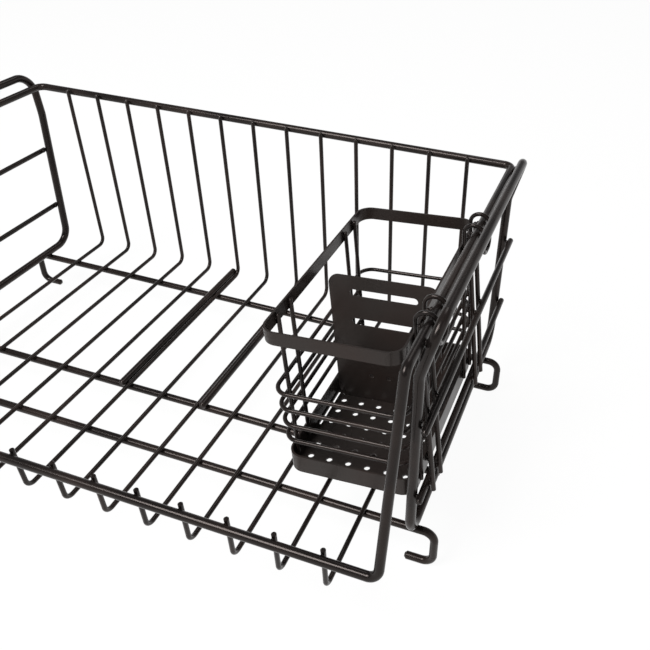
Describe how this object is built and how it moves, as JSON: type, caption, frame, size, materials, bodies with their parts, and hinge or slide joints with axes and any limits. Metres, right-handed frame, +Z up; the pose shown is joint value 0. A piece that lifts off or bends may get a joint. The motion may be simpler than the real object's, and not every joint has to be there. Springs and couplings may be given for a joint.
{
  "type": "dish drying rack",
  "caption": "Welded wire dish drying rack with a tall back wall, open front, turned wire feet and a lift-off utensil basket with a loose divider.",
  "frame": {"origin": "centre of the footprint, on the surface that the feet stand on", "axes": "+X to the right along the rack's width, +Y to the tall back wall, +Z up"},
  "size_m": [0.43, 0.2696, 0.1888],
  "materials": {
    "wire_coat": "satin dark bronze powder coat",
    "basket_coat": "satin dark bronze powder coat"
  },
  "bodies": {
    "rack": {"rim_frame": "wire_coat", "cross_rail_front": "wire_coat", "cross_rail_middle": "wire_coat", "cross_rail_back": "wire_coat", "grid_wire_01": "wire_coat", "grid_wire_02": "wire_coat", "grid_wire_03": "wire_coat", "grid_wire_04": "wire_coat", "grid_wire_05": "wire_coat", "grid_wire_06": "wire_coat", "grid_wire_07": "wire_coat", "grid_wire_08": "wire_coat", "grid_wire_09": "wire_coat", "grid_wire_10": "wire_coat", "grid_wire_11": "wire_coat", "grid_wire_12": "wire_coat", "grid_wire_13": "wire_coat", "floor_bar_left": "wire_coat", "floor_bar_right": "wire_coat", "side_frame_left": "wire_coat", "side_frame_right": "wire_coat", "lower_side_bar_left": "wire_coat", "upper_side_bar_left": "wire_coat", "lower_side_bar_right": "wire_coat", "upper_side_bar_right": "wire_coat", "side_wire_left_1": "wire_coat", "side_wire_left_2": "wire_coat", "side_wire_left_3": "wire_coat", "side_wire_left_4": "wire_coat", "side_wire_right_1": "wire_coat", "side_wire_right_2": "wire_coat", "side_wire_right_3": "wire_coat", "side_wire_right_4": "wire_coat"},
    "utensil_basket": {"basket_band": "basket_coat", "basket_tray": "basket_coat", "basket_loop_1": "basket_coat", "basket_loop_2": "basket_coat", "basket_loop_3": "basket_coat", "basket_loop_4": "basket_coat", "basket_hook_front": "basket_coat", "basket_hook_back": "basket_coat", "basket_upright_1": "basket_coat", "basket_upright_2": "basket_coat", "basket_upright_3": "basket_coat", "basket_upright_4": "basket_coat"},
    "divider": {"basket_divider": "basket_coat"}
  },
  "joints": [
    {"name": "basket_lift", "type": "slide", "parent": "rack", "child": "utensil_basket", "axis": [-0.0802, 0, 0.9968], "range_m": [0, 0.15]},
    {"name": "divider_lift", "type": "slide", "parent": "utensil_basket", "child": "divider", "axis": [-0.0802, 0, 0.9968], "range_m": [0, 0.11]}
  ]
}
